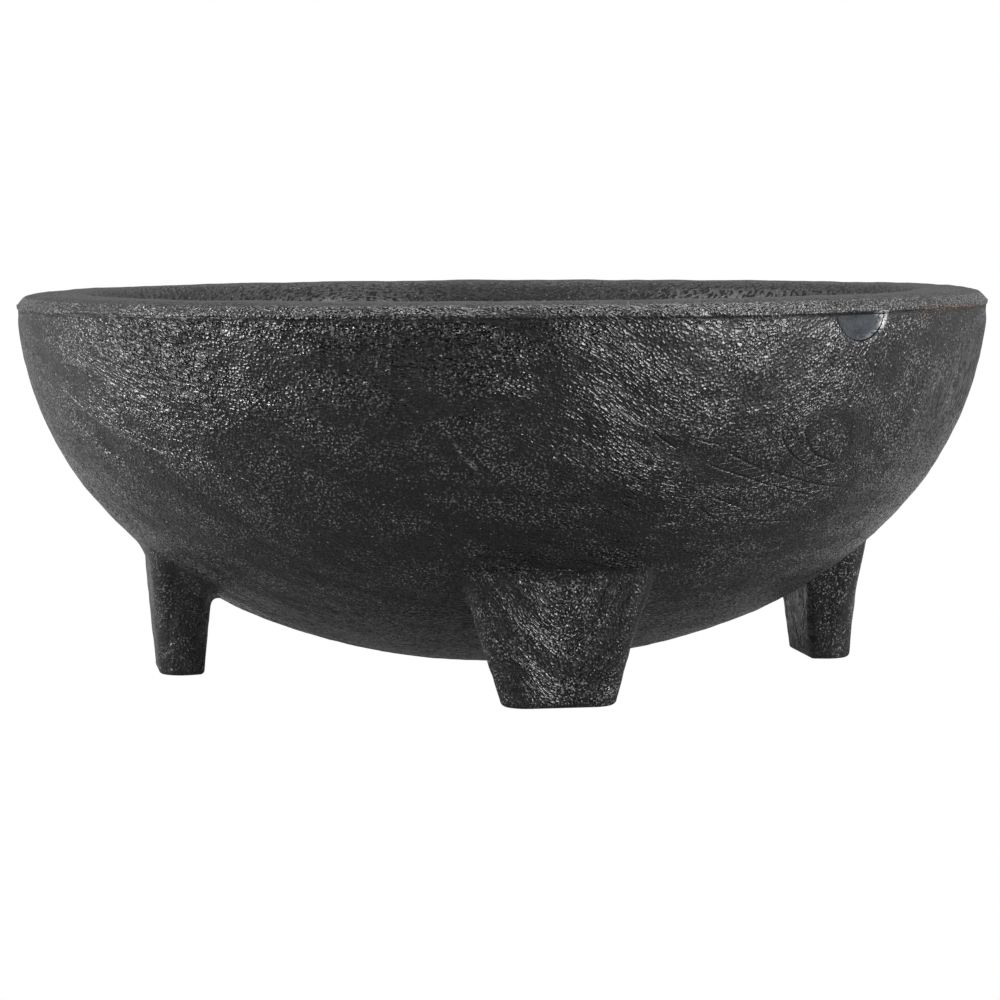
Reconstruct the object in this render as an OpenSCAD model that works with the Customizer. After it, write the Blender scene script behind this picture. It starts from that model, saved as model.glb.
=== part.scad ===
// Molcajete: wide serving bowl with a bevelled rim on four tapering block legs.
// Millimetres, +Z up, origin on the table under the middle of the bowl,
// front leg toward -Y.

/* [Bowl] */
// Widest diameter of the rim, across the thin raised lip
rim_d = 254; // [204:1:305]
// Height of the bowl from its lowest point to the lip line
bowl_h = 93.6; // [78:0.1:113]
// Gap between the bowl's lowest point and the table
bowl_clear = 1.4; // [0.8:0.1:4]
// Wall thickness of the bowl
wall = 20; // [12:0.5:24]
// Curve of the underside in the middle, as a multiple of the rim's radius
base_curve = 1.4; // [1.2:0.01:1.6]
// Steepness of the wall where it reaches the lip, in degrees from level
side_steep = 87.4; // [82:0.1:88.5]

/* [Rim] */
// Height of the rim above the lip line
rim_rise = 3.8; // [3:0.1:5]
// Radius that rolls the bevel over into the flat top
rim_roll = 5; // [3:0.1:6]
// Slope of the bevel, in degrees from level
bevel_slope = 50; // [40:1:60]
// Radius of the inner edge of the rim
inner_edge_r = 4; // [1:0.1:6]
// How far the lip stands out of the wall
lip_out = 0.2; // [0.1:0.05:0.8]
// Half thickness of the lip
lip_r = 0.7; // [0.5:0.05:1]

/* [Gate mark] */
// Width of the flat gate mark just under the lip
gate_w = 16.6; // [8:0.1:20]
// Height of the gate mark below the lip
gate_h = 6.5; // [4:0.1:8]
// Depth of the gate mark at its middle
gate_depth = 0.8; // [0.3:0.05:1.5]
// Turn of the gate mark from the front leg toward the right leg, in degrees
gate_turn = 34; // [20:0.1:70]

/* [Legs] */
// Radius at which the outer faces of the feet stand, as a part of the rim's radius
leg_spread = 0.724; // [0.6:0.002:0.87]
// Radial thickness of a foot
foot_t = 11.6; // [9:0.1:16]
// Width of a foot across its outer face
foot_w = 32.6; // [26:0.1:42]
// Width of a foot across its inner face
foot_w_in = 25; // [18:0.1:26]
// Lean of the outer face, in degrees, outward going up
lean_out = 4.6; // [0:0.1:10]
// Lean of the inner face, in degrees, inward going up
lean_in = 6; // [0:0.1:12]
// Spread of the sides at the outer face, in degrees going up
side_flare = 14.8; // [8:0.1:20]
// Spread of the sides at the inner face, in degrees going up
side_flare_in = 19.3; // [8:0.1:22]
// Radius of the outer upright corners
corner_r = 6.2; // [3:0.1:6.5]
// Radius of the inner upright corners
corner_r_in = 1.6; // [1:0.1:2.5]
// Rounding under the foot, all round its edge
foot_edge = 1.1; // [0.4:0.1:1.4]

/* [Hidden] */
$fn = 128;
stone_black = [0.22, 0.22, 0.225];

// the bowl's outline is three arcs, tangent where they join
rim_r = rim_d / 2;
wall_r = rim_r - lip_out;
a1 = 18.9;
a2 = 50;
a3 = side_steep;
r1 = base_curve * rim_r;
// the two outer radii follow from the width and the height to reach
in_w = wall_r - r1 * sin(a1);
in_h = bowl_h - r1 * (1 - cos(a1));
k1 = sin(a2) - sin(a1);
k2 = sin(a3) - sin(a2);
k3 = cos(a1) - cos(a2);
k4 = cos(a2) - cos(a3);
det = k1 * k4 - k2 * k3;
r2 = (in_w * k4 - k2 * in_h) / det;
r3 = (k1 * in_h - k3 * in_w) / det;
c1 = [0, bowl_clear + r1];
c2 = c1 + (r1 - r2) * [sin(a1), -cos(a1)];
c3 = c2 + (r2 - r3) * [sin(a2), -cos(a2)];
lip_z = bowl_clear + bowl_h;
top_z = lip_z + rim_rise;

// rim, from the lip inward
bevel_z = lip_z + 0.5;
roll_x = wall_r - rim_roll * sin(bevel_slope)
    - (top_z - rim_roll * (1 - cos(bevel_slope)) - bevel_z) / tan(bevel_slope);
edge_z = top_z - inner_edge_r;
edge_x = c3[0] + sqrt(pow(r3 - wall, 2) - pow(min(c3[1] - edge_z, r3 - wall), 2));

// legs
foot_u = leg_spread * rim_r;
leg_guess = 0.45 * bowl_h;
leg_far = norm([
    foot_u + leg_guess * tan(lean_out),
    foot_w / 2 + leg_guess * tan(side_flare)
]);
leg_top = bowl_clear + skin_h(min(leg_far, wall_r - 1)) + 6;

// height of the bowl's outer skin above its lowest point, at radius r
function skin_h(r) =
    r < r1 * sin(a1) ? r1 - sqrt(r1 * r1 - r * r) :
    r < c2[0] + r2 * sin(a2) ? c2[1] - bowl_clear - sqrt(r2 * r2 - pow(r - c2[0], 2)) :
    c3[1] - bowl_clear - sqrt(max(0, r3 * r3 - pow(r - c3[0], 2)));

// one arc of the outline with the sector behind it
module arc_sector(c, r, from, to) {
    far = 4 * rim_r;
    intersection() {
        translate(c)
            circle(r);
        polygon([
            c,
            c + far * [sin(from), -cos(from)],
            c + far * [sin(to), -cos(to)]
        ]);
    }
}

// half outline of the bowl, filled to the axis, moved inward by inset;
// each sector starts 6 degrees early, inside the larger arc before it
module bowl_outline(inset) {
    arc_sector(c1, r1 - inset, 0, a1);
    arc_sector(c2, r2 - inset, a1 - 6, a2);
    arc_sector(c3, r3 - inset, a2 - 6, a3);
    polygon([c1, [0, min(c3[1], lip_z)], [c3[0], min(c3[1], lip_z)], c3, c2]);
}

module below(z) {
    intersection() {
        children();
        square([rim_r + 5, z]);
    }
}

// the rim's section between the lip line and the flat top
module rim_section() {
    roll_z = top_z - rim_roll;
    polygon([
        [edge_x, lip_z - 3],
        [wall_r - 0.6, lip_z - 3],
        [wall_r, lip_z],
        [wall_r, bevel_z],
        [roll_x + rim_roll * sin(bevel_slope), roll_z + rim_roll * cos(bevel_slope)],
        [roll_x, roll_z],
        [roll_x, top_z],
        [edge_x + inner_edge_r, top_z],
        [edge_x + inner_edge_r, edge_z],
        [edge_x, edge_z]
    ]);
    intersection() {
        translate([roll_x, roll_z])
            circle(rim_roll);
        polygon([
            [roll_x, roll_z],
            [roll_x, top_z],
            [roll_x + 2 * rim_roll, roll_z + 2 * rim_roll / tan(bevel_slope)]
        ]);
    }
    intersection() {
        translate([edge_x + inner_edge_r, edge_z])
            circle(inner_edge_r);
        translate([edge_x, edge_z])
            square(inner_edge_r);
    }
}

// thin raised lip all round the widest line
module lip_section() {
    translate([rim_r - lip_r, lip_z])
        circle(lip_r);
}

module bowl_solid() {
    rotate_extrude()
        below(lip_z)
            bowl_outline(0);
}

// flat D-shaped mark, its straight side under the lip
module gate_cut() {
    under = lip_z - lip_r;
    rotate([0, 0, gate_turn])
        intersection() {
            translate([0, -wall_r + gate_depth, under - gate_h + gate_w / 2])
                rotate([90, 0, 0])
                    cylinder(d = gate_w, h = 6);
            translate([-gate_w, -wall_r - 10, under - 2 * gate_w])
                cube([2 * gate_w, 20, 2 * gate_w]);
        }
}

module bowl() {
    color(stone_black)
        difference() {
            rotate_extrude() {
                difference() {
                    below(lip_z) bowl_outline(0);
                    below(lip_z + 1) bowl_outline(wall);
                }
                rim_section();
                lip_section();
            }
            gate_cut();
        }
}

// plan of a leg at height z, drawn in by inset; x runs outward from the bowl's axis
module leg_plan(z, inset) {
    uo = foot_u + z * tan(lean_out);
    ui = foot_u - foot_t - z * tan(lean_in);
    ho = foot_w / 2 + z * tan(side_flare);
    hi = foot_w_in / 2 + z * tan(side_flare_in);
    m = (ho - hi) / (uo - ui);
    q = sqrt(1 + m * m);
    hull()
        for (s = [-1, 1]) {
            translate([uo - corner_r, s * (ho - (m + q) * corner_r)])
                circle(corner_r - inset, $fn = 48);
            translate([ui + corner_r_in, s * (hi + (m - q) * corner_r_in)])
                circle(max(0.2, corner_r_in - inset), $fn = 24);
        }
}

module leg_slab(z, inset) {
    translate([0, 0, z])
        linear_extrude(0.01)
            leg_plan(z, inset);
}

// one leg under the right of the bowl, cut to the bowl's skin
module leg() {
    color(stone_black)
        difference() {
            hull() {
                leg_slab(0, foot_edge);
                leg_slab(0.3 * foot_edge, 0.3 * foot_edge);
                leg_slab(foot_edge, 0);
                leg_slab(leg_top, 0);
            }
            bowl_solid();
        }
}

module leg_front() {
    rotate([0, 0, -90]) leg();
}

module leg_right() {
    leg();
}

module leg_back() {
    rotate([0, 0, 90]) leg();
}

module leg_left() {
    rotate([0, 0, 180]) leg();
}

bowl();
leg_front();
leg_right();
leg_back();
leg_left();
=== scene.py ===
import math
import bpy
import numpy as np
from mathutils import Matrix, Vector


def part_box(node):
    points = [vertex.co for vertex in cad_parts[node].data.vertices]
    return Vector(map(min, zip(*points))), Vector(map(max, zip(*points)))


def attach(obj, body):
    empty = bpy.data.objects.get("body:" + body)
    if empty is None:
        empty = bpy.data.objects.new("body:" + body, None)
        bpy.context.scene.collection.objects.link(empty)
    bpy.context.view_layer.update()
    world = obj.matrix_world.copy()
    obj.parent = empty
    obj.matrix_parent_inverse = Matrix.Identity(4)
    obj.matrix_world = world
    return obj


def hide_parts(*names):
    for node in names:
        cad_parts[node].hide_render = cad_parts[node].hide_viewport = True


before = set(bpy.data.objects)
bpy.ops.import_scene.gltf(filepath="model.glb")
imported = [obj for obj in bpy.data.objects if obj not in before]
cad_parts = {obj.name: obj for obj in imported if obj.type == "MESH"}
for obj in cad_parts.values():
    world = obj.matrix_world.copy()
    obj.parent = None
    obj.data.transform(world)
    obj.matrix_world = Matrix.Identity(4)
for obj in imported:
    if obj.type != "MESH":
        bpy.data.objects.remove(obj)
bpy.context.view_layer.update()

# ------------------------------------------------------------------ sizes, from the CAD frame
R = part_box("bowl")[1][0]
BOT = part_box("bowl")[0][2]
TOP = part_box("bowl")[1][2]
RIM_MM = 127.0
MM = R / RIM_MM
WALL_R = R - 0.2 * MM
LIP_Z = TOP - 3.8 * MM
WALL = 20.0 * MM
LIP = LIP_Z / MM
# one degree of turn, in mm along the skin
SKIN_DEG = math.radians(1) * 122.0
# where the outer skin's three arcs end, as slopes from level
A1 = math.radians(18.9)
A2 = math.radians(50.0)
A3 = math.radians(87.4)
BASE_CURVE = 1.4


def bowl_arcs():
    """The three tangent arcs of the outer skin: ((centre r, centre z), radius) each."""
    r1 = BASE_CURVE * R
    h = LIP_Z - BOT
    iw = WALL_R - r1 * math.sin(A1)
    ih = h - r1 * (1 - math.cos(A1))
    k1 = math.sin(A2) - math.sin(A1)
    k2 = math.sin(A3) - math.sin(A2)
    k3 = math.cos(A1) - math.cos(A2)
    k4 = math.cos(A2) - math.cos(A3)
    det = k1 * k4 - k2 * k3
    r2 = (iw * k4 - k2 * ih) / det
    r3 = (k1 * ih - k3 * iw) / det
    c1 = np.array([0.0, BOT + r1])
    c2 = c1 + (r1 - r2) * np.array([math.sin(A1), -math.cos(A1)])
    c3 = c2 + (r2 - r3) * np.array([math.sin(A2), -math.cos(A2)])
    return (c1, r1), (c2, r2), (c3, r3)


ARCS = bowl_arcs()


def skin_z(r):
    """Height of the bowl's outer skin at radius r."""
    (c1, r1), (c2, r2), (c3, r3) = ARCS
    r = np.asarray(r, float)
    z1 = c1[1] - np.sqrt(np.maximum(r1 * r1 - r * r, 0))
    z2 = c2[1] - np.sqrt(np.maximum(r2 * r2 - (r - c2[0]) ** 2, 0))
    z3 = c3[1] - np.sqrt(np.maximum(r3 * r3 - (r - c3[0]) ** 2, 0))
    upper = np.where(r < c2[0] + r2 * math.sin(A2), z2, z3)
    return np.where(r < r1 * math.sin(A1), z1, upper)


# ------------------------------------------------------------------ smooth random fields
def lattice(seed, i, j, k):
    """A fixed random value in -1..1 for each whole-number point."""
    n = (i * 374761393 + j * 668265263 + k * 1442695041 + seed * 974634777) & 0xFFFFFFFF
    n = ((n ^ (n >> 13)) * 1274126177) & 0xFFFFFFFF
    n = ((n ^ (n >> 16)) * 1597334677) & 0xFFFFFFFF
    return ((n ^ (n >> 15)) & 0xFFFF) / 32767.5 - 1.0


def noise(p, size, seed=0):
    """Smooth noise in -1..1 at points p (N,3), one cell every size."""
    q = np.asarray(p, float) / size
    f = np.floor(q)
    t = q - f
    t = t * t * t * (t * (6 * t - 15) + 10)
    i, j, k = (f[:, a].astype(np.int64) for a in range(3))
    out = 0.0
    for a in (0, 1):
        wa = t[:, 0] if a else 1 - t[:, 0]
        for b in (0, 1):
            wb = t[:, 1] if b else 1 - t[:, 1]
            for c in (0, 1):
                wc = t[:, 2] if c else 1 - t[:, 2]
                out = out + wa * wb * wc * lattice(seed, i + a, j + b, k + c)
    return out


def smooth(x, a, b):
    """Eases from 0 at a to 1 at b."""
    t = np.clip((np.asarray(x, float) - a) / (b - a), 0, 1)
    return t * t * (3 - 2 * t)


def bump(x, c, w):
    """A bell of height 1 centred on c, with width w."""
    return np.exp(-(((np.asarray(x, float) - c) / w) ** 2))


# ------------------------------------------------------------------ mesh helpers
def mesh_object(name, verts, faces):
    me = bpy.data.meshes.new(name)
    me.from_pydata([tuple(map(float, v)) for v in verts], [], faces)
    me.validate()
    me.update()
    o = bpy.data.objects.new(name, me)
    bpy.context.scene.collection.objects.link(o)
    me.polygons.foreach_set("use_smooth", [True] * len(me.polygons))
    return o


def put(o, name, values):
    """Stores one value or vector per mesh point, for the material to read."""
    values = np.asarray(values, np.float32)
    kind, key = ("FLOAT_VECTOR", "vector") if values.ndim == 2 else ("FLOAT", "value")
    a = o.data.attributes.new(name, kind, "POINT")
    a.data.foreach_set(key, values.ravel())


def ring_faces(a, na, b, nb, faces):
    """Joins ring a (na points from index a) to ring b above it.
    The counts are equal or differ twofold."""
    if na == nb:
        for k in range(na):
            k2 = (k + 1) % na
            faces.append((a + k, a + k2, b + k2, b + k))
    elif nb == 2 * na:
        for k in range(na):
            k2 = (k + 1) % na
            faces.append((a + k, b + 2 * k + 1, b + 2 * k))
            faces.append((a + k, a + k2, b + 2 * k + 1))
            faces.append((a + k2, b + (2 * k + 2) % nb, b + 2 * k + 1))
    else:
        for k in range(nb):
            k2 = (k + 1) % nb
            faces.append((b + k, a + 2 * k, a + 2 * k + 1))
            faces.append((b + k, a + 2 * k + 1, b + k2))
            faces.append((b + k2, a + 2 * k + 1, a + (2 * k + 2) % na))


# ------------------------------------------------------------------ bowl
SEG = 704
RIM_ROLL = 5.0 * MM
BEVEL = math.radians(50)
INNER_EDGE = 4.0 * MM


def arc_pts(arc, inset, a, b, step):
    c, r = arc
    r = r - inset
    n = max(2, int(math.ceil(abs(b - a) * r / step)) + 1)
    t = np.linspace(a, b, n)
    return np.stack([c[0] + r * np.sin(t), c[1] - r * np.cos(t)], 1)


def bowl_profile():
    """Half section from the bottom pole up the outside, over the rim and down the inside.
    Rows of r, z, segments, zone: 0 outside, 1 rim, 2 inner edge, 3 inside."""
    (c1, r1), (c2, r2), (c3, r3) = ARCS
    rows = []

    def add(pts, zone):
        for r, z in pts:
            n = SEG if zone < 3 else SEG // 2
            for part in (0.70, 0.35, 0.17):
                if r < part * R:
                    n = min(n, int(SEG * {0.70: 0.5, 0.35: 0.25, 0.17: 0.125}[part]))
            rows.append((r, z, n, zone))

    add(arc_pts(ARCS[0], 0, 0.0, A1, 2.0 * MM), 0)
    add(arc_pts(ARCS[1], 0, A1, A2, 1.5 * MM)[1:], 0)
    add([p for p in arc_pts(ARCS[2], 0, A2, A3, 1.1 * MM)[1:] if p[1] < LIP_Z - 1.2 * MM], 0)
    add([(WALL_R, LIP_Z + d * MM) for d in (-0.95, -0.7, -0.5, -0.3)], 0)
    roll = RIM_ROLL
    slope = BEVEL
    bz = LIP_Z + 0.5 * MM
    rise = TOP - roll * (1 - math.cos(slope)) - bz
    rx = WALL_R - roll * math.sin(slope) - rise / math.tan(slope)
    add([(WALL_R, LIP_Z + d * MM) for d in (-0.12, 0.05, 0.22, 0.5)], 1)
    p0 = np.array([WALL_R, bz])
    p1 = np.array([rx + roll * math.sin(slope), TOP - roll + roll * math.cos(slope)])
    add([p0 + (p1 - p0) * f for f in (0.3, 0.6)], 1)
    t = np.linspace(slope, 0, 7)
    add(np.stack([rx + roll * np.sin(t), TOP - roll + roll * np.cos(t)], 1), 1)
    er = INNER_EDGE
    q3 = r3 - WALL
    ez = TOP - er
    ex = c3[0] + math.sqrt(q3 * q3 - (c3[1] - ez) ** 2)
    add(np.linspace([rx, TOP], [ex + er, TOP], 10)[1:-1], 1)
    t = np.linspace(0, math.pi / 2, 7)
    add(np.stack([ex + er - er * np.sin(t), TOP - er + er * np.cos(t)], 1), 2)
    a_in = math.asin(min(1.0, (ex - c3[0]) / q3))
    add(arc_pts(ARCS[2], WALL, a_in, A2, 2.2 * MM)[1:], 3)
    add(arc_pts(ARCS[1], WALL, A2, A1, 2.5 * MM)[1:], 3)
    add(arc_pts(ARCS[0], WALL, A1, 0.0, 2.8 * MM)[1:], 3)
    return rows


# the distance in mm given to a point that no mark is near
FAR = 9.0

# Marks on the skin, placed by turn from the front leg toward the right leg in degrees and by
# height in mm. A bowed stroke is its two ends and its bow in mm, upward on one that runs right.
CRACKS = [
    ((20, 60.5), (42, 51.5), -2),
    ((13, 66), (17, 64), 0),
    ((17, 63), (26, 55), 0),
    ((16, 53), (23, 48), -0.5),
    ((16, 49), (19, 45.5), 0),
    ((7, 71), (11.5, 63.5), -1),
    ((24, 45.2), (34, 44.2), -0.5),
    ((14.5, 60.5), (36, 49.6), -1.3),
    ((92, 66.8), (114, 62.5), -3),
    ((96, 60.5), (112, 56.5), -1.6),
    ((146, 58), (168, 60.4), 2.3),
    ((-124, 72), (-102, 69), -2),
]
RIDGES = [
    ((-71.5, 78.5), (-57, 64), -1.5),
    ((-58.5, 65.5), (-51, 60.5), 0),
    ((-14.5, 67.5), (-10, 56), -1),
    ((2, 76), (11, 67), -1.5),
    ((126, 70), (137, 64.5), -1.5),
    ((-160, 66), (-148, 62), -1.5),
]
# the whorl: quarter ovals about one middle, each with its half width and half height in mm
WHORL = (37, 69.5)
WHORL_OVALS = [(23.5, 11), (20.5, 11.5), (27.5, 13.5)]

# spots with weaker grit, so less relief and fewer painted glints, among the coarse grit: turn, height and
# half widths
DULL = [(-44, 86.5, 1.2, 3.5), (-38.5, 85, 1.6, 3), (-34.5, 88.5, 1, 5), (-33, 79, 2, 3.5),
        (-40.5, 76.5, 1.8, 2.5), (-26, 84, 2.5, 5), (-60, 78, 5, 3), (-55, 72, 4, 2.5)]
# rust-coloured flecks: turn, height and size
RUST = [(-50, 95.5, 0.5), (22.5, 96.5, 0.35), (31, 98.5, 0.4), (60.5, 92, 0.45), (112, 95.5, 0.5)]


def stroke_points(start, end, bow):
    """Points in mm along a bowed stroke, as distance round the skin and height."""
    a = np.array(start, float) * [SKIN_DEG, 1.0]
    b = np.array(end, float) * [SKIN_DEG, 1.0]
    step = b - a
    side = np.array([-step[1], step[0]]) / np.hypot(*step)
    t = np.linspace(0, 1, 21)[:, None]
    return a + step * t + side * bow * 4 * t * (1 - t)


def whorl_points(half_width, half_height):
    t = np.radians(np.linspace(5, 90, 21))
    x = WHORL[0] * SKIN_DEG - half_width * np.cos(t)
    return np.stack([x, WHORL[1] - half_height * np.sin(t)], 1)


CRACK_LINES = [stroke_points(*c) for c in CRACKS] + [whorl_points(*w) for w in WHORL_OVALS]
RIDGE_LINES = [stroke_points(*c) for c in RIDGES]


def along(turn, z, lines, reach=3.0):
    """Signed distance in mm to the nearest of the lines, and a weight that fades at its ends
    and sides."""
    x = turn * SKIN_DEG
    margin = 6.0
    dist = np.full(len(z), FAR)
    weight = np.zeros(len(z))
    for c in lines:
        lo = c.min(axis=0) - margin
        hi = c.max(axis=0) + margin
        near = (x > lo[0]) & (x < hi[0]) & (z > lo[1]) & (z < hi[1])
        px, pz = x[near], z[near]
        best = np.full(len(px), FAR)
        sd = np.full(len(px), FAR)
        w = np.zeros(len(px))
        for s in range(len(c) - 1):
            ax, az = c[s]
            dx, dz = c[s + 1] - c[s]
            u = np.clip(((px - ax) * dx + (pz - az) * dz) / (dx * dx + dz * dz), 0, 1)
            gap = np.hypot(px - ax - u * dx, pz - az - u * dz)
            side = np.sign((px - ax) * dz - (pz - az) * dx)
            hit = gap < best
            where = (s + u) / (len(c) - 1)
            best = np.where(hit, gap, best)
            sd = np.where(hit, side * gap, sd)
            w = np.where(hit, np.clip(4 * np.minimum(where, 1 - where), 0, 1), w)
        closer = best < np.abs(dist[near])
        dist[near] = np.where(closer, sd, dist[near])
        weight[near] = np.where(closer, w * smooth(best, reach, 0.5 * reach), weight[near])
    return dist, weight


# the gate mark: its turn in degrees, and the radius of its round edge and its height in mm
GATE_TURN = 33.75
GATE_R = 8.0
GATE_DROP = 6.3


def gate_gap(turn, z):
    """Signed distance in mm to the outline of the gate mark, negative inside it."""
    top = LIP - 0.7
    x = (turn - GATE_TURN) * math.radians(1) * 126.5
    low = top - GATE_DROP
    return np.maximum(np.hypot(x * 0.93, z - low - GATE_R) - GATE_R, z - top)


def grain_across(turn, s, z):
    """Coordinate in mm that stays level along the melt's flow lines on the bowl's skin."""
    x = turn * SKIN_DEG
    f = 20 * np.tanh((x + 118) / 48)
    f = f + 15 * np.tanh((x - 8) / 20) * bump(z, 72, 38)
    f = f - 9 * (1 + np.tanh((x - 58) / 22)) * bump(z, 86, 17)
    f = f - 13 * np.exp(-(((x - 66) / 13) ** 2 + ((z - 66.5) / 8) ** 2))
    return s + f * smooth(turn, -165, -120) * smooth(turn, 165, 120)


def build_bowl():
    rows = bowl_profile()
    last = len(rows) - 1
    count = [1 if i in (0, last) else rows[i][2] for i in range(len(rows))]
    start = np.concatenate([[0], np.cumsum(count)])
    faces = [(0, 1 + (k + 1) % count[1], 1 + k) for k in range(count[1])]
    for i in range(1, last - 1):
        ring_faces(start[i], count[i], start[i + 1], count[i + 1], faces)
    a, n = start[last - 1], count[last - 1]
    faces += [(start[last], a + k, a + (k + 1) % n) for k in range(n)]
    faces = [tuple(int(q) for q in f) for f in faces]
    prof = np.array([(p[0], p[1]) for p in rows])
    tan = np.gradient(prof, axis=0)
    nor = np.stack([tan[:, 1], -tan[:, 0]], 1)
    nor[0], nor[-1] = (0, -1), (0, 1)
    nor /= np.linalg.norm(nor, axis=1)[:, None]
    run = np.concatenate([[0], np.cumsum(np.hypot(*np.diff(prof, axis=0).T))])
    row = np.repeat(np.arange(len(rows)), count)
    turn = np.concatenate([np.arange(c) * 360.0 / c - 180 for c in count])
    ang = np.radians(turn)
    r, z = prof[row].T
    zone = np.array([p[3] for p in rows])[row]
    nr, nz = nor[row].T
    out = np.stack([np.sin(ang), -np.cos(ang), 0 * ang], 1)
    v = out * r[:, None] + [0, 0, 1] * z[:, None]
    p = v / MM
    s, zm = run[row] / MM, z / MM

    psi = grain_across(turn, s, zm)
    flow = np.stack([p[:, 0], p[:, 1], psi], 1)
    h = 0.15 * noise(p, 30, 1) + 0.09 * noise(p, 12.5, 2) + 0.06 * noise(p, 5.5, 3)
    h += 0.10 * noise(flow * [1 / 7, 1 / 7, 1 / 2.8], 1, 4) + 0.05 * noise(p, 2.7, 5)
    h = np.where(zone == 3, 0.35 * h, h)
    cd, cw = along(turn, zm, CRACK_LINES)
    rd, rw = along(turn, zm, RIDGE_LINES)
    out_zone = zone == 0
    h -= out_zone * cw * 0.10 * np.exp(-(cd / 0.7) ** 2)
    h += out_zone * rw * 0.06 * np.exp(-(rd / 0.9) ** 2)
    # the wall steps in under the ragged lip left by the mould's parting line
    ring = out * RIM_MM
    rag = 0.5 * noise(ring, 9, 11) + 0.45 * noise(ring, 3.1, 12) + 0.3 * noise(ring, 1.5, 13)
    sway = 0.25 * noise(ring, 14, 14) + 0.18 * noise(ring, 4, 15)
    d = zm - LIP - sway
    wall = smooth(d, -5.0, -0.8) * (zm < LIP + 0.3) * (zone < 2)
    lip = np.exp(-((d - 0.1) / 0.42) ** 2)
    stepped = h * (1 - 0.5 * wall) - wall * (0.42 + 0.12 * rag) + lip * (0.50 + 0.24 * rag)
    h = np.where((zm < LIP + 0.6) & (zone < 2), stepped, h)
    h += 0.28 * smooth(turn, 2, 5) * smooth(turn, 23, 19) * bump(zm, LIP + 1.25, 0.4) * (zone < 2)
    gate = np.where(zone < 2, gate_gap(turn, zm), FAR)
    inside = smooth(gate, 0.7, -0.4) * (zm < LIP + 0.1)
    sag = 0.62 - 0.008 * (turn - 34) ** 2
    h = h * (1 - 0.92 * inside) - inside * sag
    h += 0.12 * bump(gate, 0.55, 0.4) * (zm < LIP - 0.5) * (zone < 2) * (0.6 + 0.6 * rag)
    h -= 0.05
    top = (zone == 1) & (zm > LIP + 3.3) | (zone == 2)
    h = np.where(top, h - 0.30, h)
    h *= MM
    v = v + out * (h * nr)[:, None] + [0, 0, 1] * (h * nz)[:, None]
    rr = np.hypot(v[:, 0], v[:, 1])
    lim = min(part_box("bowl")[1][:2]) - 0.002 * MM
    v[:, :2] *= np.minimum(1, lim / np.maximum(rr, 1e-9))[:, None]
    v[:, 2] = np.clip(v[:, 2], BOT, TOP)

    o = mesh_object("bowl_shell", v, faces)
    # how strong the grit is, which also sets how many painted glints show: coarse at the left, fine at the
    # middle and underneath
    gain = 0.58 + 1.15 * bump(turn, -54, 13) * smooth(zm, 64, 80)
    gain = gain + 0.30 * bump(turn, -44, 26) * smooth(zm, 40, 66)
    gain = gain + 0.35 * bump(turn, 18, 19) * smooth(zm, 46, 70)
    gain = gain + 0.25 * bump(turn, 2, 10) * smooth(zm, 40, 60)
    gain = gain - 0.40 * bump(turn, 33, 11) * bump(zm, 57, 12)
    gain = gain + 0.45 * bump(turn, 23, 8) * bump(zm, 83, 9)
    gain = gain - 0.40 * bump(turn, -67, 9) * bump(zm, 82, 15)
    for t0, z0, tw, zw in DULL:
        gain = gain - 0.55 * bump(turn, t0, tw) * bump(zm, z0, zw)
    gain = gain + 0.22 * noise(p, 22, 21) - 0.18 * smooth(zm, 45, 20)
    gain = gain + 0.15 * smooth(np.abs(turn), 95, 130)
    gain = np.where(zone == 3, 0.10, np.where(zone > 0, 0.80, gain))
    gain = gain * (1 - 0.85 * smooth(gate, 0.5, -0.3))
    gain = gain * (1 + 0.25 * noise(flow * [1 / 16, 1 / 16, 1 / 5], 1, 22))
    put(o, "flow", flow)
    put(o, "grit", np.clip(gain, 0.05, 1.9))
    veil = np.clip(bump(turn, 22, 17) + smooth(turn, 37, 44) * smooth(turn, 110, 90), 0, 1)
    rim_satin = 0.5 + 3.0 * smooth(zm, LIP + 2.6, LIP + 3.4)
    plain = np.where(zone == 3, 1.1, np.where(zone == 2, 2.8, rim_satin))
    put(o, "satin", np.where(out_zone, veil * smooth(zm, 46, 66), plain))
    torn = smooth(turn, 35.6, 36.8) * smooth(zm, LIP - 5.2, LIP - 3.2)
    put(o, "cut", np.stack([cd, cw * out_zone, torn], 1))
    # ridge lines, and the left side of the gate mark, where painted shade lines its edge
    put(o, "scar", np.stack([rd, rw * out_zone, smooth(turn, 36.0, 34.0)], 1))
    put(o, "gate", np.where(zm < LIP + 0.1, gate, FAR))
    put(o, "edge", np.where(zone < 2, d, FAR))
    # paler grey painted where light falls: all over the rim, faintly inside the bowl, as a highlight spot
    # beside the gate mark and a highlight patch left of it
    tail = bump(turn, 39.8, 1.4) * bump(zm, LIP - 0.8, 0.6)
    tail = tail + 0.6 * bump(turn, 22, 7) * bump(zm, 83, 8)
    put(o, "rim", np.clip(np.where(zone == 0, tail, np.where(zone == 3, 0.2, 1.0)), 0, 1))
    rust = np.zeros(len(cd))
    for t0, z0, w0 in RUST:
        rust += np.exp(-(((turn - t0) * 2.2) ** 2 + (zm - z0) ** 2) / w0 ** 2)
    rust += 0.8 * smooth(turn, 43, 46) * smooth(turn, 69, 66) * bump(zm, LIP - 0.1, 0.45)
    put(o, "rust", np.clip(rust, 0, 1) * (zone < 2))
    return o


# ------------------------------------------------------------------ legs
# a leg in mm: where the foot's outer face stands, how thick it is, and its half widths
FOOT_OUT = 0.724 * RIM_MM
FOOT_T = 11.6
FOOT_HALF = 16.3
FOOT_HALF_IN = 12.5
# how its faces lean and its sides spread on the way up
LEAN_OUT = math.tan(math.radians(4.6))
LEAN_IN = math.tan(math.radians(6.0))
FLARE_OUT = math.tan(math.radians(14.8))
FLARE_IN = math.tan(math.radians(19.3))
CORNER_OUT = 6.2
CORNER_IN = 1.6
FOOT_EDGE = 1.1


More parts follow.
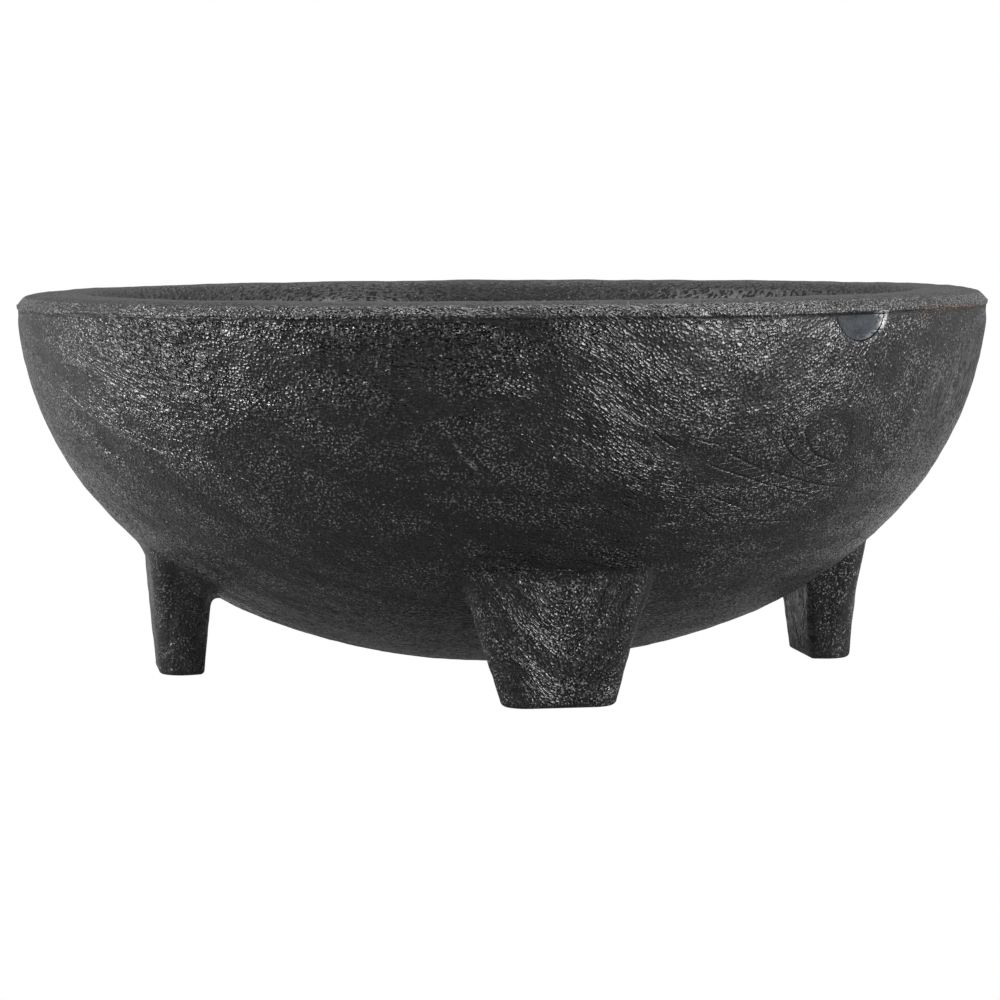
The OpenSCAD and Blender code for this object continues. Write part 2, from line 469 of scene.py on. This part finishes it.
def leg_corners(z):
    """Corner points (outward u, sideways w) and corner radii of a leg's section at height z (mm)."""
    uo = FOOT_OUT + z * LEAN_OUT
    ui = FOOT_OUT - FOOT_T - z * LEAN_IN
    ho = FOOT_HALF + z * FLARE_OUT
    hi = FOOT_HALF_IN + z * FLARE_IN
    outer = [(uo, -ho, CORNER_OUT), (uo, ho, CORNER_OUT)]
    return outer + [(ui, hi, CORNER_IN), (ui, -hi, CORNER_IN)]


def leg_ring(z, inset, n):
    """n points round a leg's section, drawn in by inset, and the outward normal at each. All in mm."""
    cs = leg_corners(z)
    pts, nrm = [], []
    for i in range(4):
        p = np.array(cs[i][:2])
        a = np.array(cs[i - 1][:2]) - p
        b = np.array(cs[(i + 1) % 4][:2]) - p
        a /= np.linalg.norm(a)
        b /= np.linalg.norm(b)
        half = math.acos(float(a @ b)) / 2
        rad = cs[i][2]
        mid = (a + b) / np.linalg.norm(a + b)
        c = p + mid * rad / math.sin(half)
        n0 = np.array([-a[1], a[0]])
        n1 = np.array([b[1], -b[0]])
        if n0 @ mid > 0:
            n0 = -n0
        if n1 @ mid > 0:
            n1 = -n1
        for t in np.linspace(0, 1, 9):
            d = n0 * (1 - t) + n1 * t
            d /= np.linalg.norm(d)
            pts.append(c + d * max(rad - inset, 0.05))
            nrm.append(d)
    pts, nrm = np.array(pts), np.array(nrm)
    loop = np.vstack([pts, pts[:1]])
    nl = np.vstack([nrm, nrm[:1]])
    run = np.concatenate([[0], np.cumsum(np.hypot(*np.diff(loop, axis=0).T))])
    at = np.linspace(0, run[-1], n, endpoint=False)
    q = np.stack([np.interp(at, run, loop[:, k]) for k in (0, 1)], 1)
    m = np.stack([np.interp(at, run, nl[:, k]) for k in (0, 1)], 1)
    return q, m / np.linalg.norm(m, axis=1)[:, None]


# points round a leg, and rows up its sides
RING = 152
SIDE_ROWS = 40


def leg_top(lift):
    """Height in mm at which each side line of a leg meets the bowl's skin."""
    lo, hi = np.full(RING, 8.0), np.full(RING, 60.0)
    for _ in range(40):
        mid = (lo + hi) / 2
        p = lift(mid)
        under = mid < skin_z(np.hypot(p[:, 0], p[:, 1]) * MM) / MM
        lo, hi = np.where(under, mid, lo), np.where(under, hi, mid)
    return (lo + hi) / 2


LEG_GRIT = {"chevron": 0.80, "left": 0.60, "right": 0.6, "back": 0.65}
LEG_SATIN = {"chevron": 0.75, "left": 1.1, "right": 0.8, "back": 0.5}


def build_leg(name, heading, fillet, grain, seed):
    """heading turns the leg about the bowl's axis; fillet is its root radius in mm."""
    q0, m0 = leg_ring(0, 0, RING)
    q40 = leg_ring(40, 0, RING)[0]

    def lift(z):
        return q0 + (q40 - q0) * (np.asarray(z) / 40.0)[:, None]

    zt = leg_top(lift)
    root = lift(zt)
    f = fillet * (0.8 + 0.2 * noise(np.concatenate([root, zt[:, None]], 1), 6, seed))
    rows = []
    rows.append((q0 + (q0.mean(0) - q0) * 0.55, np.zeros(RING), 0 * m0, np.full(RING, -1.0)))
    rows.append((q0 - m0 * 2.2, np.zeros(RING), 0 * m0, np.full(RING, -1.0)))
    for t in np.linspace(0, 1, 5):
        sn = math.sin(t * math.pi / 2)
        cs = math.cos(t * math.pi / 2)
        z = np.full(RING, FOOT_EDGE * (1 - cs))
        rows.append((lift(z) - m0 * FOOT_EDGE * (1 - sn), z, m0 * sn, np.full(RING, -cs)))
    z_end = zt - f * 1.05
    for t in np.linspace(0, 1, SIDE_ROWS)[1:]:
        z = FOOT_EDGE + (z_end - FOOT_EDGE) * t
        rows.append((lift(z), z, m0, np.zeros(RING)))
    # fillet: leaves the side and runs out along the skin
    a = np.concatenate([lift(z_end), z_end[:, None]], 1)
    b = np.concatenate([root, zt[:, None]], 1)
    out_uw = root + m0 * (f * 1.15)[:, None]
    zs = skin_z(np.hypot(out_uw[:, 0], out_uw[:, 1]) * MM) / MM
    c = np.concatenate([out_uw, zs[:, None] + 0.3], 1)
    for t in np.linspace(0, 1, 9)[1:]:
        p = a * (1 - t) ** 2 + b * 2 * t * (1 - t) + c * t * t
        rows.append((p[:, :2], p[:, 2], m0 * (1 - t), np.full(RING, -t)))
    # tucked into the wall, then closed inside it
    for k in (1.0, 2.4):
        inn = root + m0 * (f * 1.15 - k * 0.9)[:, None]
        zz = skin_z(np.hypot(inn[:, 0], inn[:, 1]) * MM) / MM
        rows.append((inn, zz + k * 0.9 + 0.2, 0 * m0, np.zeros(RING)))
    uw = np.concatenate([r[0] for r in rows])
    z = np.concatenate([r[1] for r in rows])
    nu = np.concatenate([np.concatenate([r[2], r[3][:, None]], 1) for r in rows])
    ln = np.linalg.norm(nu, axis=1)
    moving = ln > 0.5
    nu = nu / np.maximum(ln, 1e-6)[:, None]
    last_row = len(rows) - 1
    c0 = np.array([[q0[:, 0].mean(), 0, 0]])
    top_u = rows[-1][0][:, 0].mean()
    c1 = np.array([[top_u, 0, float(skin_z(top_u * MM)) / MM + 8]])
    p = np.concatenate([uw, z[:, None]], 1)
    faces = []
    n = RING
    for i in range(last_row):
        for k in range(n):
            k2 = (k + 1) % n
            faces.append((i * n + k, i * n + k2, (i + 1) * n + k2, (i + 1) * n + k))
    base = len(p)
    p = np.concatenate([p, c0, c1])
    for k in range(n):
        k2 = (k + 1) % n
        faces.append((base, k2, k))
        faces.append((base + 1, last_row * n + k, last_row * n + k2))
    nu = np.concatenate([nu, [[0, 0, 0], [0, 0, 0]]])
    # body frame: u outward, w sideways
    ca, sa = math.cos(heading), math.sin(heading)

    def spin(x):
        return np.stack([x[:, 0] * ca - x[:, 1] * sa, x[:, 0] * sa + x[:, 1] * ca, x[:, 2]], 1)

    u, w, zz = p.T
    if grain == "chevron":
        psi = zz - 11 * np.sqrt(1 + (w / 6.5) ** 2)
        psi = psi + 2.5 * noise(p, 8, seed) + 4 * noise(p, 17, seed + 7)
        flow = np.stack([w, u, psi], 1)
    else:
        psi = w + 1.3 * u + 1.2 * noise(p, 11, seed)
        flow = np.stack([zz, zz * 0.2, psi], 1)
    h = 0.12 * noise(p, 14, seed) + 0.09 * noise(p, 5, seed + 1) + 0.08 * noise(p, 2.4, seed + 2)
    deep = 0.16 if grain == "chevron" else 0.09
    h += deep * noise(flow * [1 / 6, 1 / 6, 1 / 2.0], 1, seed + 3) - 0.10
    h *= smooth(zz, 0.0, 1.6)
    h = np.append(h[:-2] * moving, [0, 0])
    p = p + nu * h[:, None]
    p[:, 2] = np.maximum(p[:, 2], 0)
    o = mesh_object(name, spin(p) * MM, faces)
    nn = len(p)
    grit = LEG_GRIT[grain] + 0.15 * noise(p, 8, seed + 5)
    put(o, "flow", flow + [300, 0, 300])
    # weaker grit and fewer painted glints up near the bowl, where its shade falls
    put(o, "grit", np.clip(grit * (0.55 + 0.45 * smooth(zz, 30, 22)), 0.1, 1.4))
    put(o, "satin", np.full(nn, LEG_SATIN[grain]))
    put(o, "cut", np.tile([FAR, 0, 0], (nn, 1)))
    put(o, "scar", np.tile([FAR, 0, 0], (nn, 1)))
    put(o, "gate", np.full(nn, FAR))
    put(o, "edge", np.full(nn, FAR))
    put(o, "rim", np.zeros(nn))
    put(o, "rust", np.zeros(nn))
    return o


# ------------------------------------------------------------------ material
class Graph:
    """Short calls for building a node tree."""

    def __init__(self, tree):
        self.tree = tree

    def node(self, kind, values=(), **props):
        n = self.tree.nodes.new(kind)
        for k, v in props.items():
            setattr(n, k, v)
        for key, v in dict(values).items():
            if isinstance(v, bpy.types.NodeSocket):
                self.tree.links.new(v, n.inputs[key])
            else:
                n.inputs[key].default_value = v
        return n

    def attr(self, name, vector=False):
        n = self.node("ShaderNodeAttribute", attribute_name=name)
        return n.outputs["Vector" if vector else "Fac"]

    def calc(self, op, a, b=0.0, c=0.0):
        return self.node("ShaderNodeMath", {0: a, 1: b, 2: c}, operation=op).outputs[0]

    def stretch(self, vec, size):
        return self.node("ShaderNodeVectorMath", {0: vec, 1: size}, operation="MULTIPLY").outputs[0]

    def cloud(self, vec, detail=2.0, rough=0.5):
        values = {"Vector": vec, "Scale": 1.0, "Detail": detail, "Roughness": rough}
        return self.node("ShaderNodeTexNoise", values).outputs[0]

    def ramp(self, x, a, b, lo=0.0, hi=1.0):
        values = {0: x, 1: a, 2: b, 3: lo, 4: hi}
        return self.node("ShaderNodeMapRange", values, interpolation_type="SMOOTHSTEP").outputs[0]

    def mix(self, f, a, b):
        n = self.node("ShaderNodeMix", data_type="RGBA")
        for key, v in ((0, f), (6, a), (7, b)):
            if isinstance(v, bpy.types.NodeSocket):
                self.tree.links.new(v, n.inputs[key])
            else:
                n.inputs[key].default_value = v
        return n.outputs[2]

    def pulse(self, d, width):
        """1 on the line where d is 0, falling off over width."""
        q = self.calc("DIVIDE", d, width)
        return self.calc("EXPONENT", self.calc("MULTIPLY", self.calc("MULTIPLY", q, q), -1.0))


def grey(v, warm=0.0):
    return (v * (1 + warm), v, v * (1 - warm), 1.0)


# strength of the relief's layers, in mm, and of the painted fine sparkle
STROKE = 0.90
FIBRE = 0.06
GRAIN = 0.42
SWELL = 2.0
SPARKLE_PAINT = 0.44
# greys of the body and of the rim's painted lighter tone, strength of the painted glints, gloss
BASE = 0.006
RIM_LIT_GREY = 0.022
GLINT_PAINT = 0.68
ROUGH = 0.18
GLOSS = 0.16
SPEC = 0.78
GATE_DARK = (0.012, 0.016, 0.021, 1)
GATE_PALE = (0.034, 0.042, 0.052, 1)
RUST_COLOUR = (0.26, 0.135, 0.07, 1)


def stone_material():
    mat = bpy.data.materials.new("stone_black")
    mat.use_nodes = True
    tree = mat.node_tree
    tree.nodes.clear()
    g = Graph(tree)
    flow = g.attr("flow", True)
    place = g.node("ShaderNodeTexCoord").outputs["Object"]
    grit = g.attr("grit")
    gate = g.attr("gate")
    rim = g.attr("rim")
    edge = g.attr("edge")
    satin = g.attr("satin")

    bold = g.cloud(g.stretch(flow, (0.42, 0.42, 1.5)), 0.0)
    fine = g.cloud(g.stretch(flow, (0.75, 0.75, 1.9)), 0.0)
    strokes = g.node("ShaderNodeMix", {0: g.ramp(grit, 1.05, 1.45), 2: fine, 3: bold}).outputs[0]
    fibres = g.cloud(g.stretch(flow, (1.1, 1.1, 2.9)), 0.0)
    glitter = g.cloud(g.stretch(flow, (0.8, 0.8, 2.1)), 1.0, 0.5)
    grains = g.cloud(g.stretch(place, (1.6 / MM,) * 3), 0.0)
    patches = g.cloud(g.stretch(flow, (0.045, 0.045, 0.13)), 3.0, 0.6)
    swell = g.cloud(g.stretch(flow, (0.05, 0.05, 0.09)), 2.0, 0.5)
    lumps = g.cloud(g.stretch(place, (0.16 / MM,) * 3), 2.0, 0.5)
    lively = g.calc("MULTIPLY", grit, g.ramp(patches, 0.36, 0.64, 0.50, 1.40))

    relief = g.calc("MULTIPLY", strokes, STROKE)
    relief = g.calc("MULTIPLY_ADD", fibres, FIBRE, relief)
    relief = g.calc("MULTIPLY", relief, lively)
    soft = g.ramp(grit, 1.05, 1.45, 0.55, 1.0)
    relief = g.calc("MULTIPLY", relief, g.calc("MULTIPLY", soft, g.ramp(satin, 0.0, 1.0, 1.0, 0.45)))
    even = g.calc("MULTIPLY_ADD", rim, 0.15, g.calc("MULTIPLY_ADD", lively, 0.35, 0.45))
    calm = g.ramp(satin, 1.0, 1.3, 1.0, 0.2)
    even = g.calc("MULTIPLY", even, calm)
    relief = g.calc("MULTIPLY_ADD", g.calc("MULTIPLY", grains, GRAIN), even, relief)
    relief = g.calc("MULTIPLY_ADD", swell, SWELL, relief)
    inside = g.ramp(gate, 0.25, -0.15)
    relief = g.calc("MULTIPLY", relief, g.calc("MULTIPLY_ADD", inside, -0.9, 1.0))

    cut = g.node("ShaderNodeSeparateXYZ", {0: g.attr("cut", True)}).outputs
    scar = g.node("ShaderNodeSeparateXYZ", {0: g.attr("scar", True)}).outputs
    wobble = g.calc("MULTIPLY_ADD", strokes, 0.35, -0.17)
    crack = g.calc("MULTIPLY", g.pulse(g.calc("ADD", cut[0], wobble), 0.25), cut[1])
    crack = g.calc("MULTIPLY", crack, g.ramp(patches, 0.30, 0.45, 0.4, 1.0))
    line = g.calc("MULTIPLY", g.pulse(g.calc("ADD", scar[0], wobble), 0.30), scar[1])
    line = g.calc("MULTIPLY", line, g.ramp(glitter, 0.42, 0.58))
    relief = g.calc("MULTIPLY_ADD", crack, -0.40, relief)
    relief = g.calc("MULTIPLY_ADD", line, 0.12, relief)

    base = g.mix(g.ramp(lumps, 0.3, 0.7), grey(BASE * 0.8, 0.01), grey(BASE * 1.25, 0.0))
    # painted shade: the relief's low spots are darkened, and they are also made rougher
    shaded_pit = g.calc("MULTIPLY", g.ramp(strokes, 0.50, 0.40), 0.9)
    tint = g.mix(shaded_pit, base, grey(BASE * 0.3))
    # painted glints: pale specks where the grit is lively, standing in for light caught by the grain; they
    # are glossier too
    glint_spots = g.calc("MULTIPLY_ADD", grains, 0.45, g.calc("MULTIPLY", glitter, 0.55))
    glint_spots = g.ramp(g.calc("MULTIPLY_ADD", g.calc("MULTIPLY", lively, soft), 0.07, glint_spots), 0.69, 0.73)
    painted_glint = g.calc("MULTIPLY", glint_spots, g.ramp(fibres, 0.35, 0.55, 0.3, 1.0))
    specks = g.cloud(g.stretch(place, (2.0 / MM,) * 3), 0.0)
    # painted fine sparkle: pale specks, most on the rim and on the calm smooth parts, standing in for tiny
    # glints
    painted_sparkle = g.ramp(g.calc("MULTIPLY_ADD", rim, 0.03, specks), 0.58, 0.70)
    spread = g.calc("MULTIPLY_ADD", lumps, 0.5, g.calc("MULTIPLY_ADD", rim, 0.2, patches))
    painted_sparkle = g.calc("MULTIPLY", painted_sparkle, g.ramp(spread, 0.62, 0.92, 0.12, 1.0))
    painted_sparkle = g.calc("MULTIPLY", painted_sparkle, g.calc("MULTIPLY", calm, g.calc("MULTIPLY_ADD", rim, 0.9, 1.0)))
    tint = g.mix(g.calc("MULTIPLY", painted_sparkle, SPARKLE_PAINT), tint, grey(0.45))
    tint = g.mix(g.calc("MULTIPLY", painted_glint, GLINT_PAINT), tint, grey(0.62, -0.01))
    # painted light: the rim and the highlight spots get a paler grey
    tint = g.mix(g.calc("MULTIPLY", rim, 0.55), tint, grey(RIM_LIT_GREY))
    tint = g.mix(g.calc("MULTIPLY", line, 0.6), tint, grey(0.40))
    tint = g.mix(g.calc("MULTIPLY", crack, 0.85), tint, grey(0.006))
    cloudy = g.ramp(g.calc("MULTIPLY_ADD", grains, 0.4, lumps), 0.55, 0.85)
    fill = g.mix(cloudy, GATE_DARK, GATE_PALE)
    tint = g.mix(inside, tint, fill)
    ragged = g.calc("MULTIPLY_ADD", grains, 1.4, g.calc("ADD", gate, -1.0))
    ragged = g.calc("MULTIPLY", g.calc("MULTIPLY", g.pulse(ragged, 0.8), cut[2]), g.ramp(glitter, 0.38, 0.5))
    tint = g.mix(ragged, tint, grey(0.75))
    # painted shade along the left edge of the gate mark's recess
    gate_edge_shade = g.calc("MULTIPLY", g.pulse(g.calc("ADD", gate, -0.1), 0.22), scar[2])
    tint = g.mix(gate_edge_shade, tint, grey(0.004))
    under_lip = g.calc("MULTIPLY_ADD", strokes, 0.5, g.calc("ADD", edge, 0.45))
    shade = g.calc("MULTIPLY", g.pulse(under_lip, 0.30), 0.75)
    tint = g.mix(shade, tint, grey(0.006))
    rust = g.calc("MULTIPLY", g.attr("rust"), g.ramp(specks, 0.48, 0.60))
    tint = g.mix(rust, tint, RUST_COLOUR)

    rough = g.calc("MULTIPLY_ADD", lumps, 0.16, ROUGH - 0.08)
    rough = g.calc("MULTIPLY_ADD", shaded_pit, 0.45, rough)
    rough = g.calc("ADD", rough, g.ramp(patches, 0.36, 0.60, 0.08, -0.03))
    rough = g.calc("MULTIPLY_ADD", painted_glint, GLOSS - ROUGH, rough)
    rough = g.calc("MULTIPLY_ADD", inside, 0.18, rough)
    rough = g.calc("MULTIPLY_ADD", shade, 0.6, rough)
    rough = g.calc("MULTIPLY_ADD", satin, 0.09, rough)
    rough = g.calc("MULTIPLY_ADD", g.calc("SUBTRACT", 1.0, calm), 0.25, rough)

    bump_node = g.node("ShaderNodeBump", {"Strength": 1.0, "Distance": MM, "Height": relief})
    shader = g.node("ShaderNodeBsdfPrincipled", {
        "Base Color": tint, "Roughness": rough, "Normal": bump_node.outputs[0],
        "Specular IOR Level": SPEC, "IOR": 1.5})
    g.node("ShaderNodeOutputMaterial", {"Surface": shader.outputs[0]})
    return mat


stone = stone_material()
bowl = build_bowl()
legs = {
    "leg_front": build_leg("leg_front_block", math.radians(-90), 2.2, "chevron", 41),
    "leg_right": build_leg("leg_right_block", 0.0, 1.0, "right", 51),
    "leg_back": build_leg("leg_back_block", math.radians(90), 2.6, "back", 61),
    "leg_left": build_leg("leg_left_block", math.radians(180), 4.5, "left", 71),
}
for node, piece in [("bowl", bowl)] + list(legs.items()):
    piece.data.materials.append(stone)
    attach(piece, "root")
    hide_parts(node)

# ------------------------------------------------------------------ floor, world and lights
FLOOR_FRONT = 0.06
FLOOR_BACK = 0.30
FLOOR_PALE = 0.18
ROOM_FRONT = 0.0
ROOM_BACK = 0.40
LAMPS = {
    "left": dict(az=-77, el=20, dist=1.1, size=(0.42, 0.6), power=13.5),
    "right": dict(az=58, el=20, dist=1.2, size=(0.7, 0.6), power=15.0),
    "top": dict(az=150, el=68, dist=1.1, size=(0.9, 0.6), power=5.5),
}


def floor_piece():
    """White to the camera; to the part it is a darker, softly glowing table."""
    n = 8
    xs = np.linspace(-9, 9, n)
    verts = [(x, y, 0) for y in xs for x in xs]
    faces = []
    for j in range(n - 1):
        for i in range(n - 1):
            a = j * n + i
            faces.append((a, a + 1, a + n + 1, a + n))
    o = mesh_object("floor", verts, faces)
    mat = bpy.data.materials.new("floor")
    mat.use_nodes = True
    mat.node_tree.nodes.clear()
    g = Graph(mat.node_tree)
    seen = g.node("ShaderNodeLightPath").outputs["Is Camera Ray"]
    where = g.node("ShaderNodeTexCoord").outputs["Object"]
    place = g.node("ShaderNodeSeparateXYZ", {0: where}).outputs
    glow = g.ramp(place[1], -0.10, 0.10, FLOOR_FRONT, FLOOR_BACK)
    lit = g.node("ShaderNodeEmission", {"Color": grey(1.0), "Strength": glow}).outputs[0]
    pale = g.node("ShaderNodeBsdfDiffuse", {"Color": grey(FLOOR_PALE)}).outputs[0]
    soft = g.node("ShaderNodeAddShader", {0: lit, 1: pale}).outputs[0]
    white = g.node("ShaderNodeEmission", {"Color": grey(1.0), "Strength": 1.0}).outputs[0]
    both = g.node("ShaderNodeMixShader", {0: seen, 1: soft, 2: white}).outputs[0]
    g.node("ShaderNodeOutputMaterial", {"Surface": both})
    o.data.materials.append(mat)


def studio_world():
    """White to the camera; a dim room, brighter behind the part, for light and reflections."""
    world = bpy.data.worlds.new("studio")
    world.use_nodes = True
    world.node_tree.nodes.clear()
    g = Graph(world.node_tree)
    seen = g.node("ShaderNodeLightPath").outputs["Is Camera Ray"]
    way = g.node("ShaderNodeTexCoord").outputs["Generated"]
    back = (math.sin(TURN), math.cos(TURN), 0.0)
    toward = g.node("ShaderNodeVectorMath", {0: way, 1: back}, operation="DOT_PRODUCT").outputs["Value"]
    level = g.ramp(toward, -0.3, 0.7, ROOM_FRONT, ROOM_BACK)
    room = g.node("ShaderNodeBackground", {"Color": grey(1.0), "Strength": level}).outputs[0]
    white = g.node("ShaderNodeBackground", {"Color": grey(1.0), "Strength": 1.0}).outputs[0]
    both = g.node("ShaderNodeMixShader", {0: seen, 1: room, 2: white}).outputs[0]
    g.node("ShaderNodeOutputWorld", {"Surface": both})
    bpy.context.scene.world = world


LAMP_AIM = Vector((0, 0, 0.06))


def lamp(name, az, el, dist, size, power):
    """Area lamp aimed at the bowl. az runs from the camera's side toward the right, el is
    the angle up from the table, both in degrees."""
    data = bpy.data.lights.new(name, "AREA")
    data.shape = "RECTANGLE"
    data.size, data.size_y = size
    data.energy = power
    o = bpy.data.objects.new(name, data)
    bpy.context.scene.collection.objects.link(o)
    a, e = math.radians(az) - TURN, math.radians(el)
    pos = Vector((math.sin(a) * math.cos(e), -math.cos(a) * math.cos(e), math.sin(e))) * dist
    aim = LAMP_AIM - pos
    o.rotation_mode = "QUATERNION"
    o.rotation_quaternion = aim.to_track_quat("-Z", "Y")
    o.location = pos


# ------------------------------------------------------------------ camera
# turned about the bowl from its front, then set back and raised; tilts in radians
TURN = math.radians(8.783)
DIST = 7.3895 * R
CAM_Z = 0.9495 * R
PITCH = 0.0826
ROLL = -0.0062
YAW = -0.0009
LENS = 128.1
SENSOR = 36


def place_camera():
    c, s = math.cos(-TURN), math.sin(-TURN)
    spin = Matrix(((c, -s, 0), (s, c, 0), (0, 0, 1)))
    flat = math.cos(PITCH)
    fwd = Vector((math.sin(YAW) * flat, math.cos(YAW) * flat, -math.sin(PITCH)))
    right = Vector((math.cos(YAW), -math.sin(YAW), 0))
    up = right.cross(fwd)
    r2 = math.cos(ROLL) * right + math.sin(ROLL) * up
    u2 = -math.sin(ROLL) * right + math.cos(ROLL) * up
    r2, u2, fwd = spin @ r2, spin @ u2, spin @ fwd
    pos = spin @ Vector((0, -DIST, CAM_Z))
    cam = bpy.data.cameras.new("cam")
    cam.sensor_width = SENSOR
    cam.lens = LENS
    cam.clip_start = 0.05
    o = bpy.data.objects.new("cam", cam)
    bpy.context.scene.collection.objects.link(o)
    m = Matrix.Identity(4)
    for i in range(3):
        m[i][0], m[i][1], m[i][2], m[i][3] = r2[i], u2[i], -fwd[i], pos[i]
    o.matrix_world = m
    bpy.context.scene.camera = o


floor_piece()
studio_world()
for lamp_name, spec in LAMPS.items():
    lamp(lamp_name, **spec)
place_camera()
bpy.context.scene.view_settings.view_transform = "Standard"
